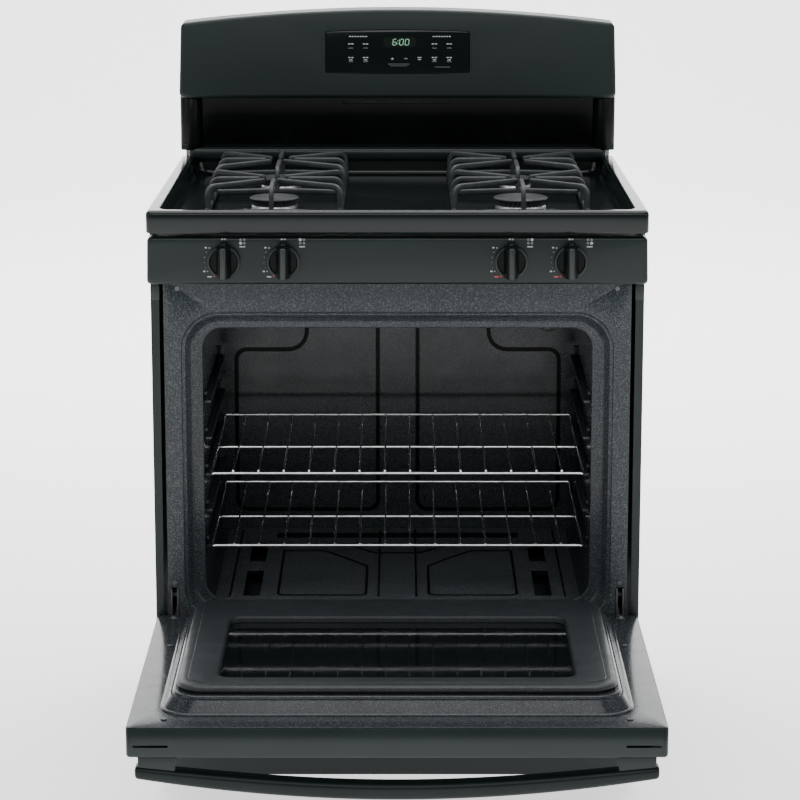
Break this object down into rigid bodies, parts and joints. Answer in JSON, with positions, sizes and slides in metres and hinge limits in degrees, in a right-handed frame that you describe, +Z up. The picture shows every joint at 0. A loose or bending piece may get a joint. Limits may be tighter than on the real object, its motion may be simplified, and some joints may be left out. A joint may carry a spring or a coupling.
{
  "type": "freestanding gas range",
  "caption": "Freestanding gas range with cast-iron grates, a backguard console, a drop-down oven door shown open, wire racks and a storage drawer.",
  "frame": {"origin": "on the floor under the middle of the range with its door open", "axes": "+X to the right of a person facing the range, +Y to the back, +Z up"},
  "size_m": [0.759, 1.183, 1.172],
  "materials": {
    "body_enamel": "semi-gloss near-black enamel, slightly green",
    "galvanised_steel": "dull galvanised sheet",
    "oven_porcelain": "glossy blue-grey porcelain enamel with fine light speckles",
    "aluminised_steel": "aluminised tube and sheet",
    "lamp_glass": "clear dome",
    "white_ceramic": "unglazed white insulator",
    "mineral_wool": "loose yellow mineral wool",
    "cooktop_enamel": "deep glossy black enamel",
    "bare_aluminium": "satin cast aluminium",
    "valve_brass": "machined brass",
    "cap_enamel": "matte black enamelled cap",
    "cast_iron": "matte grey-black enamelled casting",
    "console_paint": "satin near-black paint",
    "control_glass": "black printed glass with pale legends",
    "circuit_board": "green board",
    "black_nylon": "moulded nylon",
    "zinc_screws": "zinc-plated heads",
    "gasket_braid": "dark braided glass fibre rope",
    "window_glass": "dark tinted oven window",
    "handle_plastic": "satin black",
    "rack_chrome": "bright plated wire",
    "stem_steel": "turned steel",
    "knob_plastic": "satin black"
  },
  "bodies": {
    "cabinet": {"side_panel_left": "body_enamel", "side_panel_right": "body_enamel", "back_panel": "galvanised_steel", "console_back_cover": "galvanised_steel", "base_frame": "galvanised_steel", "front_frame": "oven_porcelain", "oven_liner": "oven_porcelain", "rack_guides": "oven_porcelain", "oven_floor": "oven_porcelain", "oven_burner": "aluminised_steel", "broil_burner": "aluminised_steel", "oven_lamp": "lamp_glass", "lamp_socket": "white_ceramic", "temperature_sensor": "aluminised_steel", "oven_insulation": "mineral_wool", "cooktop": "cooktop_enamel", "control_panel": "body_enamel", "gas_manifold": "bare_aluminium", "gas_supply_pipe": "aluminised_steel", "burner_valves": "valve_brass", "burner_heads": "bare_aluminium", "burner_caps": "cap_enamel", "spark_electrodes": "white_ceramic", "console_shell": "console_paint", "vent_panel": "cooktop_enamel", "console_ends": "console_paint", "control_glass": "control_glass", "control_board": "circuit_board", "pressure_regulator": "bare_aluminium", "power_inlet": "black_nylon", "hinge_receivers": "galvanised_steel", "drawer_rails": "galvanised_steel", "levelling_feet": "black_nylon", "chassis_screws": "zinc_screws"},
    "door": {"door_skin": "body_enamel", "door_liner": "oven_porcelain", "door_gasket": "gasket_braid", "door_window_frame": "oven_porcelain", "door_inner_glass": "window_glass", "door_outer_glass": "window_glass", "door_insulation": "mineral_wool", "door_handle": "handle_plastic", "door_screws": "zinc_screws", "hinge_arms": "galvanised_steel"},
    "drawer": {"drawer_front": "body_enamel", "drawer_pan": "galvanised_steel", "drawer_runners": "galvanised_steel"},
    "rack_upper": {"rack_upper": "rack_chrome"},
    "rack_lower": {"rack_lower": "rack_chrome"},
    "grate_left": {"grate_left": "cast_iron"},
    "grate_right": {"grate_right": "cast_iron"},
    "valve_stem_1": {"valve_stem_1": "stem_steel"},
    "knob_1": {"knob_1": "knob_plastic"},
    "valve_stem_2": {"valve_stem_2": "stem_steel"},
    "knob_2": {"knob_2": "knob_plastic"},
    "valve_stem_3": {"valve_stem_3": "stem_steel"},
    "knob_3": {"knob_3": "knob_plastic"},
    "valve_stem_4": {"valve_stem_4": "stem_steel"},
    "knob_4": {"knob_4": "knob_plastic"}
  },
  "joints": [
    {"name": "door_hinge", "type": "hinge", "parent": "cabinet", "child": "door", "pos_m": [0, -0.0585, 0.269], "axis": [1, 0, 0], "range_deg": [-90, 0]},
    {"name": "drawer_slide", "type": "slide", "parent": "cabinet", "child": "drawer", "axis": [0, -1, 0], "range_m": [0, 0.35]},
    {"name": "rack_upper_slide", "type": "slide", "parent": "cabinet", "child": "rack_upper", "axis": [0, -1, 0], "range_m": [0, 0.3]},
    {"name": "rack_lower_slide", "type": "slide", "parent": "cabinet", "child": "rack_lower", "axis": [0, -1, 0], "range_m": [0, 0.3]},
    {"name": "grate_left_lift", "type": "slide", "parent": "cabinet", "child": "grate_left", "axis": [0, 0, 1], "range_m": [0, 0.08]},
    {"name": "grate_right_lift", "type": "slide", "parent": "cabinet", "child": "grate_right", "axis": [0, 0, 1], "range_m": [0, 0.08]},
    {"name": "knob_1_turn", "type": "hinge", "parent": "cabinet", "child": "valve_stem_1", "pos_m": [-0.262, -0.0885, 0.843], "axis": [0, -1, 0], "range_deg": [0, 150]},
    {"name": "knob_1_push", "type": "slide", "parent": "valve_stem_1", "child": "knob_1", "axis": [0, 1, 0], "range_m": [0, 0.003], "stiffness_N_per_m": 1500, "springref_m": -0.002},
    {"name": "knob_2_turn", "type": "hinge", "parent": "cabinet", "child": "valve_stem_2", "pos_m": [-0.172, -0.0885, 0.843], "axis": [0, -1, 0], "range_deg": [0, 150]},
    {"name": "knob_2_push", "type": "slide", "parent": "valve_stem_2", "child": "knob_2", "axis": [0, 1, 0], "range_m": [0, 0.003], "stiffness_N_per_m": 1500, "springref_m": -0.002},
    {"name": "knob_3_turn", "type": "hinge", "parent": "cabinet", "child": "valve_stem_3", "pos_m": [0.172, -0.0885, 0.843], "axis": [0, -1, 0], "range_deg": [0, 150]},
    {"name": "knob_3_push", "type": "slide", "parent": "valve_stem_3", "child": "knob_3", "axis": [0, 1, 0], "range_m": [0, 0.003], "stiffness_N_per_m": 1500, "springref_m": -0.002},
    {"name": "knob_4_turn", "type": "hinge", "parent": "cabinet", "child": "valve_stem_4", "pos_m": [0.262, -0.0885, 0.843], "axis": [0, -1, 0], "range_deg": [0, 150]},
    {"name": "knob_4_push", "type": "slide", "parent": "valve_stem_4", "child": "knob_4", "axis": [0, 1, 0], "range_m": [0, 0.003], "stiffness_N_per_m": 1500, "springref_m": -0.002}
  ]
}
